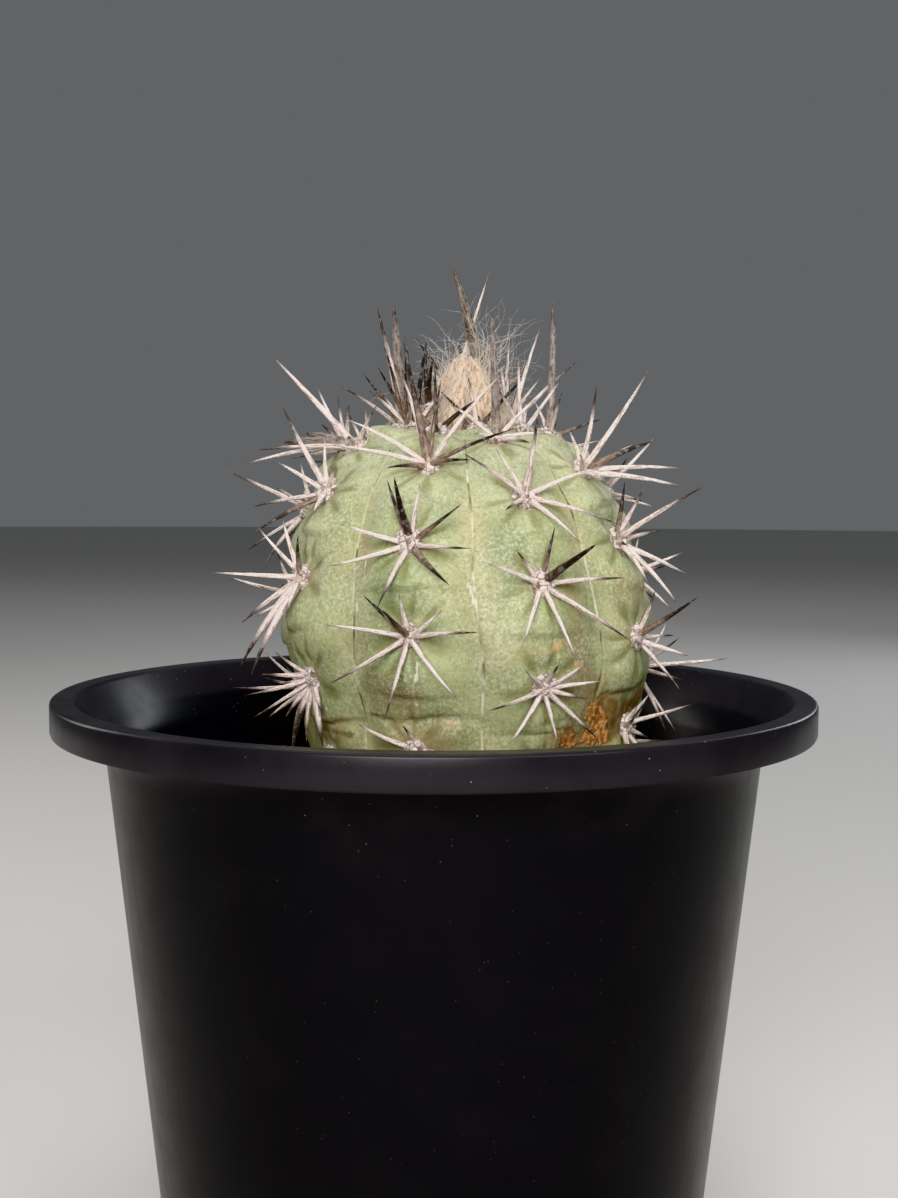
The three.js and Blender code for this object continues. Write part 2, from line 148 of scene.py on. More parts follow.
def meshPiece(name, vertices, faces):
    mesh = bpy.data.meshes.new(name)
    mesh.from_pydata(vertices, [], faces)
    piece = bpy.data.objects.new(name, mesh)
    bpy.context.scene.collection.objects.link(piece)
    return piece


def addShape(vertices, faces, points, sides):
    # one more loose shape for a mesh that is made of many
    start = len(vertices)
    vertices.extend(points)
    faces.extend([start + corner for corner in side] for side in sides)


def shadeSmooth(piece, angle):
    makeActive(piece)
    bpy.ops.object.shade_smooth_by_angle(angle=math.radians(angle))


def finishPiece(piece, material, nodes=()):
    piece.data.materials.clear()
    piece.data.materials.append(material)
    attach(piece, "root")
    if nodes:
        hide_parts(*nodes)


def paintPoints(piece, name, values):
    # one number for each vertex, which the material reads
    attribute = piece.data.attributes.new(name, "FLOAT", "POINT")
    attribute.data.foreach_set("value", np.asarray(values, np.float32))


def paintColours(piece, name, colours):
    attribute = piece.data.attributes.new(name, "FLOAT_COLOR", "POINT")
    attribute.data.foreach_set("color", np.asarray(colours, np.float32).ravel())


def bump(distance, width):
    # a smooth hill: 1 at its middle, and about a third at width from it
    return math.exp(-(distance / width) ** 2)


def easeBetween(value, low, high):
    share = min(1, max(0, (value - low) / (high - low)))
    return share * share * (3 - 2 * share)


# Small helpers for materials
class Finish:
    def __init__(self, name, roughness, specular=0.5):
        self.material = bpy.data.materials.new(name)
        self.material.use_nodes = True
        self.nodes = self.material.node_tree.nodes
        self.links = self.material.node_tree.links
        self.shader = self.nodes["Principled BSDF"]
        self.shader.inputs["Roughness"].default_value = roughness
        self.shader.inputs["Specular IOR Level"].default_value = specular
        self.place = self.nodes.new("ShaderNodeTexCoord").outputs["Object"]

    def join(self, output, socket):
        if isinstance(output, (int, float)):
            socket.default_value = output
        elif isinstance(output, tuple):
            socket.default_value = (*output, 1)[: len(socket.default_value)]
        else:
            self.links.new(output, socket)

    def stretched(self, source, scale):
        mapping = self.nodes.new("ShaderNodeMapping")
        mapping.inputs["Scale"].default_value = scale
        self.links.new(source, mapping.inputs["Vector"])
        return mapping.outputs["Vector"]

    def cloud(self, size, detail=3, roughness=0.55, source=None):
        # noise whose blobs are about size metres across
        node = self.nodes.new("ShaderNodeTexNoise")
        node.inputs["Scale"].default_value = 1 / size
        node.inputs["Detail"].default_value = detail
        node.inputs["Roughness"].default_value = roughness
        self.links.new(source or self.place, node.inputs["Vector"])
        return node.outputs["Fac"]

    def cells(self, size, feature="F1", output="Distance"):
        # irregular cells about size metres across
        node = self.nodes.new("ShaderNodeTexVoronoi")
        node.feature = feature
        node.inputs["Scale"].default_value = 1 / size
        self.links.new(self.place, node.inputs["Vector"])
        return node.outputs[output]

    def painted(self, name, output="Fac"):
        node = self.nodes.new("ShaderNodeAttribute")
        node.attribute_name = name
        return node.outputs[output]

    def steps(self, value, low, high, outLow=0.0, outHigh=1.0):
        # value from low to high becomes outLow to outHigh, smoothly, and stays there outside
        node = self.nodes.new("ShaderNodeMapRange")
        node.interpolation_type = "SMOOTHSTEP"
        self.join(value, node.inputs["Value"])
        node.inputs["From Min"].default_value = low
        node.inputs["From Max"].default_value = high
        node.inputs["To Min"].default_value = outLow
        node.inputs["To Max"].default_value = outHigh
        return node.outputs["Result"]

    def maths(self, operation, first, second):
        node = self.nodes.new("ShaderNodeMath")
        node.operation = operation
        self.join(first, node.inputs[0])
        self.join(second, node.inputs[1])
        return node.outputs["Value"]

    def times(self, first, second):
        return self.maths("MULTIPLY", first, second)

    def plus(self, first, second):
        return self.maths("ADD", first, second)

    def blend(self, share, first, second, mode="MIX"):
        node = self.nodes.new("ShaderNodeMix")
        node.data_type = "RGBA"
        node.blend_type = mode
        self.join(share, node.inputs["Factor"])
        self.join(first, node.inputs["A"])
        self.join(second, node.inputs["B"])
        return node.outputs["Result"]

    def height(self, value, distance, strength):
        # relief on top of what is already linked to the shader's normal
        node = self.nodes.new("ShaderNodeBump")
        node.inputs["Strength"].default_value = strength
        node.inputs["Distance"].default_value = distance
        self.links.new(value, node.inputs["Height"])
        socket = self.shader.inputs["Normal"]
        if socket.links:
            self.links.new(socket.links[0].from_socket, node.inputs["Normal"])
        self.links.new(node.outputs["Normal"], socket)

    def colour(self, output):
        self.join(output, self.shader.inputs["Base Color"])

    def rough(self, output):
        self.join(output, self.shader.inputs["Roughness"])

    def heightAbove(self, level):
        split = self.nodes.new("ShaderNodeSeparateXYZ")
        self.links.new(self.place, split.inputs["Vector"])
        return self.maths("SUBTRACT", split.outputs["Z"], level)


# Pot
potValues = {
    "segments": 192,
    "rim": 60.0,              # millimetres, as the pot's other sizes are
    "lip": 56.4,
    "skirtHeight": 5.0,
    "wall": 1.2,
    "shoulder": 92.5,         # height where the wall begins to turn out
    "neck": 51.6,
    "base": 41.5,
    "edgeRound": 0.5,
    "wallSteps": 14,
    "drainHoles": 6,
    "drainRadius": 4.0,
    "drainCircle": 25.0,
    "drainSides": 40,
    "drillDepth": 6.0,
    "plastic": ((0.0032, 0.0032, 0.0042), (0.006, 0.006, 0.0072)),
    "film": (0.06, 0.058, 0.06),
    "rimGrey": (0.034, 0.032, 0.036),
    "dust": (0.36, 0.34, 0.33),
}


def potProfile():
    # radius and height of each ring, from the underside's edge up the outside and down the inside
    v = potValues
    rim, lip, neck, base, wall = v["rim"], v["lip"], v["neck"], v["base"], v["wall"]
    edge = v["edgeRound"]
    top = rimTop / mm
    under = top - wall
    skirt = top - v["skirtHeight"]
    heel = [(-1.5, 0), (-0.9, 0.15), (-0.35, 0.7), (0.17, 1.5)]
    outside = [(base + out, up) for out, up in heel]
    spread, low = heel[-1]
    for step in range(1, v["wallSteps"] + 1):
        share = step / v["wallSteps"]
        radius = base + spread + share * (neck - base - spread)
        outside.append((radius, low + share * (v["shoulder"] - low)))
    shoulder = [(0.45, 1.8), (1.3, 3.4), (2.6, 4.9), (4.2, 6.3), (5.6, 7.2)]
    outside += [(neck + out, v["shoulder"] + up) for out, up in shoulder]
    outside += [(rim - 1.7, under - 0.15), (rim - 1.25, under - 0.6), (rim - 1.15, skirt + edge)]
    outside += [(rim - 1.0, skirt + 0.12), (rim - 0.6, skirt), (rim - 0.15, skirt + 0.12)]
    outside += [(rim, skirt + edge), (rim, top - 2.5), (rim, top - edge)]
    outside += [(rim - 0.1, top - 0.2), (rim - 0.35, top - 0.02)]
    inside = [(rim - 0.6, top), (rim - 1.8, top - 0.03), (lip + 0.9, top - 0.04), (lip + 0.35, top)]
    inside += [(lip, top - 0.12), (lip - 0.25, top - 0.45), (lip - 1.2, top - 1.6)]
    inside += [(neck + 1.9, top - 4.1), (neck + 0.5, top - 6.0), (neck - 0.6, top - 7.9)]
    inside += [(neck - wall, v["shoulder"]), (base - wall, wall + 1.2), (base - wall - 1, wall)]
    return outside + inside


def makePot():
    profile = potProfile()
    radius, height = profile[0]
    deselectAll()
    bpy.ops.mesh.primitive_circle_add(
        vertices=potValues["segments"], radius=radius * mm, location=(0, 0, height * mm),
    )
    pot = bpy.context.object
    pot.name = "nursery_pot"
    applyPlace(pot)
    bpy.ops.object.mode_set(mode="EDIT")
    bpy.ops.mesh.select_all(action="SELECT")
    for nextRadius, nextHeight in profile[1:]:
        bpy.ops.mesh.extrude_region_move(TRANSFORM_OT_translate={"value": (0, 0, (nextHeight - height) * mm)})
        ratio = nextRadius / radius
        bpy.ops.transform.resize(value=(ratio, ratio, 1), center_override=(0, 0, nextHeight * mm))
        radius, height = nextRadius, nextHeight
    bpy.ops.mesh.select_all(action="SELECT")
    bpy.ops.mesh.fill_holes(sides=0)
    bpy.ops.mesh.normals_make_consistent(inside=False)
    bpy.ops.object.mode_set(mode="OBJECT")
    for hole in range(potValues["drainHoles"]):
        cutDrainHole(pot, hole * 2 * math.pi / potValues["drainHoles"])
    shadeSmooth(pot, 50)
    return pot


def cutDrainHole(pot, angle):
    circle = potValues["drainCircle"] * mm
    deselectAll()
    bpy.ops.mesh.primitive_cylinder_add(
        vertices=potValues["drainSides"], radius=potValues["drainRadius"] * mm,
        depth=potValues["drillDepth"] * mm, location=(circle * math.cos(angle), circle * math.sin(angle), 0),
    )
    drill = bpy.context.object
    applyPlace(drill)
    applyModifier(pot, "BOOLEAN", object=drill, operation="DIFFERENCE", solver="EXACT")
    bpy.data.objects.remove(drill)


def blackPlastic():
    f = Finish("black_plastic", 0.3, 0.22)
    above = f.heightAbove(rimTop)
    dustHeight = f.steps(above, -20 * mm, 0.0, 0.25, 1.0)
    # fine dust specks, thicker on the rim, with a thin grey film in cloudy patches
    specks = f.steps(f.cells(1.1 * mm), 0.05, 0.12, 1.0, 0.0)
    fewer = f.steps(f.cells(1.1 * mm, output="Color"), 0.6, 0.75)
    dust = f.times(f.times(specks, fewer), dustHeight)
    film = f.times(f.steps(f.cloud(11 * mm, detail=6), 0.48, 0.75), dustHeight)
    tone = f.blend(f.cloud(9 * mm), *potValues["plastic"])
    tone = f.blend(f.times(film, 0.16), tone, potValues["film"])
    # the band at the rim is a lighter, soft grey in cloudy patches
    onRim = f.steps(above, -5.6 * mm, -4.4 * mm)
    rimGrey = f.times(onRim, f.steps(f.cloud(24 * mm, detail=3), 0.3, 0.7, 0.35, 1.0))
    tone = f.blend(f.times(rimGrey, 0.75), tone, potValues["rimGrey"])
    f.colour(f.blend(f.times(dust, 0.6), tone, potValues["dust"]))
    streaks = f.cloud(1, source=f.stretched(f.place, (900, 900, 18)), detail=2)
    gloss = f.times(f.cloud(5 * mm, detail=5), 0.14)
    gloss = f.plus(gloss, f.times(streaks, 0.08))
    f.rough(f.plus(f.plus(gloss, 0.2), f.times(dust, 0.4)))
    f.height(f.cloud(0.5 * mm, detail=3), 0.012 * mm, 0.5)
    f.height(streaks, 0.02 * mm, 0.35)
    return f.material


# Soil
soilValues = {
    "cuts": 7,                # how finely the bed's top is divided
    "topFrom": 80.0,          # millimetres: upward faces above this height are the bed's top
    "lumpsFrom": 83.0,
    "lumpsWithin": 48.8,      # radius, so that the bed's edge stays level against the pot
    "lumps": 0.55,
    "grains": 2600,
    "grainSize": (0.5, 1.5),
    "strewn": 49.3,           # radius that the grains are strewn over
    "grainsWithin": 48.9,     # radius that none of them reaches past
    "stemRadius": 25.4,       # no grains within this radius of the stem's middle
    "stemCentre": 6.8,        # the stem stands this far to the right
    "earth": ((0.018, 0.012, 0.008), (0.085, 0.055, 0.034)),
    "brown": ((0.05, 0.033, 0.022), (0.19, 0.115, 0.06)),
    "grit": (0.42, 0.38, 0.33),
    "dirt": (0.05, 0.04, 0.03),
}


def makeSoilBed():
    v = soilValues
    bed = copyOfNode("soil", "soil_bed")
    bpy.ops.object.mode_set(mode="EDIT")
    bpy.ops.mesh.select_all(action="DESELECT")
    edit = bmesh.from_edit_mesh(bed.data)
    for face in edit.faces:
        face.select_set(face.normal.z > 0.8 and face.calc_center_median().z > v["topFrom"] * mm)
    bmesh.update_edit_mesh(bed.data)
    bpy.ops.mesh.subdivide(number_cuts=v["cuts"])
    bpy.ops.object.mode_set(mode="OBJECT")
    for vertex in bed.data.vertices:
        x, y, z = vertex.co
        if z > v["lumpsFrom"] * mm and math.hypot(x, y) < v["lumpsWithin"] * mm:
            broad = noise.noise(Vector((x, y, 3)) / (5 * mm))
            fine = noise.noise(Vector((x, y, 5)) / (1.9 * mm))
            vertex.co.z += (broad + 0.6 * fine) * v["lumps"] * mm
    shadeSmooth(bed, 80)
    return bed


def makeSoilGrains(rng, bed):
    v = soilValues
    deselectAll()
    bpy.ops.mesh.primitive_ico_sphere_add(subdivisions=1, radius=1)
    pebble = bpy.context.object
    shape = [vertex.co.copy() for vertex in pebble.data.vertices]
    sides = [list(polygon.vertices) for polygon in pebble.data.polygons]
    bpy.data.objects.remove(pebble)
    surface = BVHTree.FromObject(bed, bpy.context.evaluated_depsgraph_get())
    vertices, faces, tones = [], [], []
    for _ in range(v["grains"]):
        reach = v["strewn"] * math.sqrt(rng.random()) * mm
        angle = rng.uniform(0, 2 * math.pi)
        x, y = reach * math.cos(angle), reach * math.sin(angle)
        size = rng.uniform(*v["grainSize"]) * rng.uniform(0.6, 1) * mm
        fromStem = math.hypot(x - v["stemCentre"] * mm, y)
        seat = surface.ray_cast(Vector((x, y, 100 * mm)), Vector((0, 0, -1)))[0]
        if fromStem < v["stemRadius"] * mm or reach > v["grainsWithin"] * mm - size or seat is None:
            continue
        turn = Matrix.Rotation(rng.uniform(0, 6), 3, "Z") @ Matrix.Rotation(rng.uniform(0, 6), 3, "X")
        squeeze = Matrix.Diagonal((rng.uniform(0.7, 1.1), rng.uniform(0.7, 1.1), rng.uniform(0.5, 0.9)))
        middle = seat + Vector((0, 0, size * rng.uniform(0.1, 0.5)))
        points = [middle + turn @ squeeze @ (co * size * rng.uniform(0.85, 1.1)) for co in shape]
        addShape(vertices, faces, points, sides)
        tones += [rng.random()] * len(shape)
    grains = meshPiece("soil_grains", vertices, faces)
    paintPoints(grains, "tone", tones)
    return grains


def soilFinish(name, grains):
    f = Finish(name, 0.95, 0.2)
    if grains:
        tone = f.painted("tone")
        brown = f.blend(f.steps(tone, 0.2, 0.7), *soilValues["brown"])
        pale = f.blend(f.steps(tone, 0.8, 0.86), brown, soilValues["grit"])
        dirt = f.steps(f.cloud(0.7 * mm, detail=4), 0.3, 0.75, 0.0, 0.55)
        f.colour(f.blend(dirt, pale, soilValues["dirt"]))
    else:
        f.colour(f.blend(f.cloud(2.2 * mm, detail=6), *soilValues["earth"]))
    f.height(f.cloud(0.6 * mm, detail=5), 0.25 * mm, 0.8)
    return f.material


# Areoles: where each one sits and where its spines point, read from its CAD node
areoleValues = {
    "tipReach": 1.6,          # millimetres from a spine's tip to its nearest corner, at least
    "spineLength": 2.5,       # millimetres, at least
    "slimness": 0.2,          # a spine's foot is narrower than this share of its length
    "thickness": (1.1, 2.0),  # millimetres, the thinnest and the thickest spine
    "crown": (3.6, 0, 41),    # millimetres: the crown's middle, with its height above the rim
    "feetPull": 0.02,         # how much the middle of the feet counts beside the spines' axes
}


def spinesOfNode(node):
    # every spine of the CAD node is a thin cone: its tip, where it leaves the cushion, and its slope
    v = areoleValues
    copy = copyOfNode(node, "read_" + node)
    edit = bmesh.new()
    edit.from_mesh(copy.data)
    found = []
    for vertex in edit.verts:
        near = [edge.other_vert(vertex).co for edge in vertex.link_edges]
        reach = min((vertex.co - co).length for co in near)
        if reach < v["tipReach"] * mm or len(near) < 3:
            continue
        foot = sum(near, Vector()) / len(near)
        spread = sum((co - foot).length for co in near) / len(near)
        length = (vertex.co - foot).length
        if spread / length < v["slimness"] and length > v["spineLength"] * mm:
            found.append({"tip": vertex.co.copy(), "foot": foot, "slope": spread / length})
    edit.free()
    bpy.data.objects.remove(copy)
    return found


def meetingPoint(spines):
    # the point that the spines' axes all pass nearest to
    weight = areoleValues["feetPull"]
    total = np.eye(3) * weight
    pull = np.array(sum((s["foot"] for s in spines), Vector()) / len(spines)) * weight
    for s in spines:
        axis = np.array((s["tip"] - s["foot"]).normalized())
        square = np.eye(3) - np.outer(axis, axis)
        total += square
        pull += square @ np.array(s["foot"])
    return Vector(np.linalg.solve(total, pull))


def readAreoles():
    stemNode = copyOfNode("stem", "read_stem")
    surface = BVHTree.FromObject(stemNode, bpy.context.evaluated_depsgraph_get())
    right, back, height = areoleValues["crown"]
    crown = Vector((right * mm, back * mm, rimTop + height * mm))
    thinnest, thickest = areoleValues["thickness"]
    areoles = []
    for node in sorted(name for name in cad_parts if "areole" in name):
        spines = spinesOfNode(node)
        if not spines:
            print("no spines found on", node)
            continue
        middle = meetingPoint(spines)
        for s in spines:
            axis = (s["tip"] - s["foot"]).normalized()
            along = (middle - s["foot"]).dot(axis)
            start = s["foot"] + axis * min(0, along)
            thickness = 2 * s["slope"] * (s["tip"] - start).length / mm
            s["thickness"] = min(thickest, max(thinnest, thickness)) * mm
            s["start"] = start
        seat, normal, _, _ = surface.find_nearest(middle)
        inWool = node.startswith("crown")
        if inWool:
            seat = middle
            normal = (middle - crown).normalized()
        up = crown - seat
        up = (up - normal * up.dot(normal)).normalized()
        areoles.append({
            "node": node, "spines": spines, "seat": seat, "out": normal, "up": up,
            "side": up.cross(normal), "inWool": inWool,
        })
    bpy.data.objects.remove(stemNode)
    return areoles


# Stem
stemValues = {
    "frontRib": -14.5,        # degrees round from the front to the first rib
    "ribs": 9,
    "offset": 5.9,            # millimetres to the right of the pot's axis, at the rim's height
    "lean": -0.055,
    "levels": 3,              # subdivisions of the CAD surface
    "crownFrom": (37, 42),    # millimetres above the rim where grooves and folds fade out
    "chin": (1.15, -5.4, 3.4, 4.6),    # swelling under an areole: height, place, half length, half width
    "brow": (0.35, 3.0, 0.8, 2.6),     # crease above an areole, the same way
    "browBend": 0.045,
    "fill": 1.5,              # the grooves are filled out by this much
    "crease": 0.5,            # depth of the line at the bottom of a groove
    "creaseWidth": 0.05,
    "waver": 3.0,             # degrees that a groove strays from its straight line
    "fan": (0.32, 7, 4.0, 2.6),        # folds round an areole: depth, number, place, half length
    "pit": 3.6,               # reach of the brownish skin round an areole
    "waves": (0.5, 15),       # height and size of the broad unevenness
    "wrinkles": (0.12, 2.6),
    "creases": [              # short level ones near the base: angle, half width in degrees, height, depth
        (-11, 12, -0.9, 0.9), (-43, 8, -2.4, 0.8), (27, 9, -1.6, 0.5),
    ],
}


def ribPlace(co):
    # degrees round from the front, share of the way from crest to groove, and millimetres above the rim
    height = (co.z - rimTop) / mm
    centre = (stemValues["offset"] + stemValues["lean"] * height) * mm
    angle = math.degrees(math.atan2(co.x - centre, -co.y))
    angle += stemValues["waver"] * noise.noise(co / (11 * mm))
    turn = (angle - stemValues["frontRib"]) * stemValues["ribs"] / 360
    return angle, abs(turn - round(turn)) * 2, height


def fanFold(along, across, distance, seed):
    # the folds that fan out from an areole: 1 at the bottom of a fold
    _, number, middle, reach = stemValues["fan"]
    turn = math.atan2(across, along)
    lines = 0.5 + 0.5 * math.cos(number * turn + 1.4 * math.sin(2 * turn + seed) + seed)
    return lines ** 3 * bump(distance - middle, reach)


def shapeStemPoint(co, normal, areoles, tree):
    v = stemValues
    angle, offCrest, height = ribPlace(co)
    _, nearest, distance = tree.find(co)
    areole = areoles[nearest]
    away = (co - areole["seat"]) / mm
    along, across = away.dot(areole["up"]), away.dot(areole["side"])
    crown = easeBetween(height, *v["crownFrom"])
    top, place, length, width = v["chin"]
    moved = top * bump(along - place, length) * bump(across, width)
    depth, place, length, width = v["brow"]
    moved -= depth * bump(along - place + v["browBend"] * across ** 2, length) * bump(across, width)
    moved += v["fill"] * offCrest ** 2 * (1 - crown)
    broken = 0.55 + 0.9 * noise.noise(co / (7 * mm))
    moved -= v["crease"] * bump(1 - offCrest, v["creaseWidth"]) * (1 - crown) * max(0, broken)
    foldAndShade = fanFold(along, across, distance / mm, nearest) * (1 - 0.7 * crown)
    moved -= v["fan"][0] * foldAndShade
    strength, size = v["waves"]
    moved += strength * noise.noise(co / (size * mm)) * (1 - 0.6 * crown)
    strength, size = v["wrinkles"]
    stretchedPlace = Vector((co.x, co.y, co.z * 0.35)) / (size * mm)
    wrinkled = 0.4 + 0.6 * offCrest + 0.9 * easeBetween(-height, -12, 4)
    moved += strength * noise.noise(stretchedPlace) * wrinkled
    for turn, halfWidth, level, depth in v["creases"]:
        level += 0.5 * math.sin((angle - turn) / 5)
        swollen = bump(height - level + 2.2, 2.0) - bump(height - level, 0.6)
        moved += depth * bump(angle - turn, halfWidth) * swollen
    return co + normal * moved * mm, foldAndShade


# Marks on the stem's skin, each a stroke between two pixels of the picture, with its radius in millimetres
skinMarks = {
    "cork": [
        (592, 713, 600, 722, 1.9), (598, 726, 604, 736, 1.6), (586, 737, 590, 739, 1.4),
        (564, 741, 570, 742, 1.2),
    ],
    "rust": [
        (603, 706, 616, 718, 3.4), (618, 716, 638, 698, 2.6), (588, 733, 604, 732, 3.2),
        (564, 738, 570, 740, 2.4),
    ],
    "tan": [
        (573, 590, 577, 622, 2.2), (577, 640, 584, 680, 3.2), (366, 540, 366, 570, 1.6),
        (376, 690, 404, 700, 3.6), (318, 722, 340, 730, 2.2), (622, 588, 642, 604, 3.2),
        (586, 690, 588, 706, 3.4), (404, 735, 440, 738, 3.2),
    ],
    "shade": [
        (642, 696, 626, 710, 0.7), (626, 710, 607, 727, 0.8), (372, 714, 392, 719, 0.5),
        (316, 726, 352, 736, 0.6),
    ],
    "scratch": [
        (433, 722, 456, 724, 0.45), (541, 654, 552, 650, 0.45), (554, 648, 560, 644, 0.7),
        (577, 663, 583, 671, 0.6),
    ],
    "fleck": [
        (417, 664, 416, 682, 0.35), (403, 706, 408, 705, 0.4), (414, 703, 417, 704, 0.45),
        (469, 584, 474, 602, 0.35), (357, 604, 357, 612, 0.4), (326, 708, 326, 710, 0.4),
        (366, 560, 364, 580, 0.3),
    ],
}


def paintMarks(stem):
    surface = BVHTree.FromObject(stem, bpy.context.evaluated_depsgraph_get())
    eye = Vector(cameraView["eye"])
    places = np.empty(len(stem.data.vertices) * 3)
    stem.data.vertices.foreach_get("co", places)
    places = places.reshape(-1, 3)
    for kind, strokes in skinMarks.items():
        strength = np.zeros(len(places))
        for startX, startY, endX, endY, radius in strokes:
            steps = 1 + int(math.hypot(endX - startX, endY - startY) / 2)   # one for every two pixels
            for step in range(steps + 1):
                share = step / steps
                ray = rayThrough(startX + (endX - startX) * share, startY + (endY - startY) * share)
                hit = surface.ray_cast(eye, ray)[0]
                if hit is not None:
                    away = np.linalg.norm(places - np.array(hit), axis=1) / (radius * mm)
                    strength = np.maximum(strength, np.exp(-away ** 2))
        paintPoints(stem, kind, strength)


def makeStem(areoles):
    stem = copyOfNode("stem", "stem_body")
    bpy.ops.object.mode_set(mode="EDIT")
    bpy.ops.mesh.select_all(action="SELECT")
    bpy.ops.mesh.tris_convert_to_quads(face_threshold=math.pi, shape_threshold=math.pi)
    bpy.ops.object.mode_set(mode="OBJECT")
    applyModifier(stem, "SUBSURF", levels=stemValues["levels"], render_levels=stemValues["levels"])
    tree = KDTree(len(areoles))
    for number, areole in enumerate(areoles):
        tree.insert(areole["seat"], number)
    tree.balance()
    grooves, pits, folds, shaped = [], [], [], []
    for vertex in stem.data.vertices:
        grooves.append(ribPlace(vertex.co)[1])
        pits.append(bump(tree.find(vertex.co)[2] / mm, stemValues["pit"]))
        co, foldAndShade = shapeStemPoint(vertex.co, vertex.normal, areoles, tree)
        shaped.append(co)
        folds.append(foldAndShade)
    for vertex, co in zip(stem.data.vertices, shaped):
        vertex.co = co
    paintPoints(stem, "groove", grooves)
    paintPoints(stem, "pit", pits)
    # the folds' mask, which the skin also paints as shade
    paintPoints(stem, "foldAndShade", folds)
    paintMarks(stem)
    for polygon in stem.data.polygons:
        polygon.use_smooth = True
    return stem


skinColours = {
    "green": ((0.2, 0.245, 0.115), (0.355, 0.39, 0.2)),
    "yellow": (0.41, 0.39, 0.205),
    "crown": (0.49, 0.49, 0.325),
    "besideGroove": (0.4, 0.34, 0.19),
    "tan": (0.31, 0.245, 0.13),
    "bloom": (0.57, 0.58, 0.44),
    "dots": (0.19, 0.225, 0.105),
    "foldAndShade": (0.17, 0.165, 0.06),
    "line": ((0.11, 0.11, 0.05), (0.62, 0.6, 0.46)),
    "base": (0.22, 0.16, 0.075),
    "pit": (0.26, 0.21, 0.13),
    "rust": ((0.1, 0.045, 0.02), (0.3, 0.165, 0.07)),
    "cork": ((0.2, 0.075, 0.028), (0.58, 0.33, 0.14)),
    "shade": (0.07, 0.058, 0.026),
    "scratch": ((0.3, 0.12, 0.04), (0.75, 0.56, 0.3)),
    "fleck": (0.72, 0.72, 0.6),
}


def waxySkin():
    c = skinColours
    f = Finish("waxy_grey_green_skin", 0.55, 0.3)
    f.shader.inputs["Subsurface Weight"].default_value = 0.1
    f.shader.inputs["Subsurface Radius"].default_value = (0.0012, 0.0016, 0.0006)
    f.shader.inputs["Subsurface Scale"].default_value = 1.0
    above = f.heightAbove(rimTop)
    groove = f.painted("groove")
    # grey-green, with yellow-green and tan patches that run into each other
    skin = f.blend(f.steps(f.cloud(9 * mm, detail=4), 0.34, 0.66), *c["green"])
    skin = f.blend(f.steps(f.cloud(12.5 * mm, detail=3), 0.46, 0.68, 0.0, 0.7), skin, c["yellow"])
    skin = f.blend(f.steps(above, 22 * mm, 40 * mm, 0.0, 0.55), skin, c["crown"])
    besideGroove = f.times(f.steps(groove, 0.45, 0.95), f.steps(f.cloud(17 * mm), 0.42, 0.7, 0.0, 0.6))
    skin = f.blend(besideGroove, skin, c["besideGroove"])
    raggedTan = f.plus(f.painted("tan"), f.steps(f.cloud(2.5 * mm, detail=4), 0.3, 0.7, -0.25, 0.15))
    skin = f.blend(f.steps(raggedTan, 0.05, 0.9, 0.0, 0.7), skin, c["tan"])
    # waxy bloom: a pale grain over the whole skin, denser in patches, and darker dots between
    grain = f.steps(f.cloud(0.5 * mm, detail=4, roughness=0.75), 0.45, 0.6)
    patches = f.steps(f.cloud(6 * mm, detail=3), 0.3, 0.7, 0.25, 0.75)
    skin = f.blend(f.times(grain, patches), skin, c["bloom"])
    dots = f.steps(f.cloud(0.62 * mm, detail=3, roughness=0.7), 0.52, 0.66, 0.0, 0.5)
    skin = f.blend(dots, skin, c["dots"])
    # painted shade in the folds round the areoles, and the broken line along the bottom of each groove
    skin = f.blend(f.steps(f.painted("foldAndShade"), 0.15, 0.85, 0.0, 0.62), skin, c["foldAndShade"])
    lineTone = f.blend(f.steps(f.cloud(7.5 * mm), 0.46, 0.56), *c["line"])
    lineShare = f.times(f.steps(groove, 0.95, 0.98), f.steps(f.cloud(4 * mm), 0.36, 0.58, 0.15, 0.95))
    skin = f.blend(lineShare, skin, lineTone)
    # brown towards the soil and round each areole
    low = f.steps(above, 7 * mm, -12 * mm, 0.0, 0.75)
    skin = f.blend(f.times(low, f.cloud(3 * mm, detail=5)), skin, c["base"])
    skin = f.blend(f.steps(f.painted("pit"), 0.3, 0.95, 0.0, 0.55), skin, c["pit"])
    # brown and corky scars, painted shade along the creases, scratches and white flecks
    breakUp = f.steps(f.cloud(1.1 * mm, detail=5), 0.25, 0.75, -0.25, 0.25)
    rust = f.steps(f.plus(f.painted("rust"), f.times(breakUp, 1.6)), 0.15, 1.1, 0.0, 0.92)
    skin = f.blend(rust, skin, f.blend(f.cloud(1.4 * mm, detail=4), *c["rust"]))
    cork = f.steps(f.plus(f.painted("cork"), breakUp), 0.35, 0.65)
    skin = f.blend(cork, skin, f.blend(f.steps(f.cloud(0.8 * mm, detail=4), 0.35, 0.65), *c["cork"]))
    shade = f.steps(f.plus(f.painted("shade"), f.times(breakUp, 1.2)), 0.25, 1.0, 0.0, 0.7)
    skin = f.blend(shade, skin, c["shade"])
    scratch = f.steps(f.plus(f.painted("scratch"), breakUp), 0.5, 0.8, 0.0, 0.9)
    skin = f.blend(scratch, skin, f.blend(f.cloud(1.3 * mm), *c["scratch"]))
    fleck = f.steps(f.plus(f.painted("fleck"), breakUp), 0.5, 0.8, 0.0, 0.75)
    skin = f.blend(fleck, skin, c["fleck"])
    f.colour(skin)
    f.rough(f.steps(grain, 0.0, 1.0, 0.48, 0.66))
    f.height(f.cloud(0.5 * mm, detail=4, roughness=0.75), 0.06 * mm, 0.6)
    f.height(f.cloud(2.4 * mm, detail=3), 0.18 * mm, 0.5)
    f.height(f.times(cork, f.cloud(0.8 * mm, detail=5)), 0.5 * mm, 0.8)
    return f.material


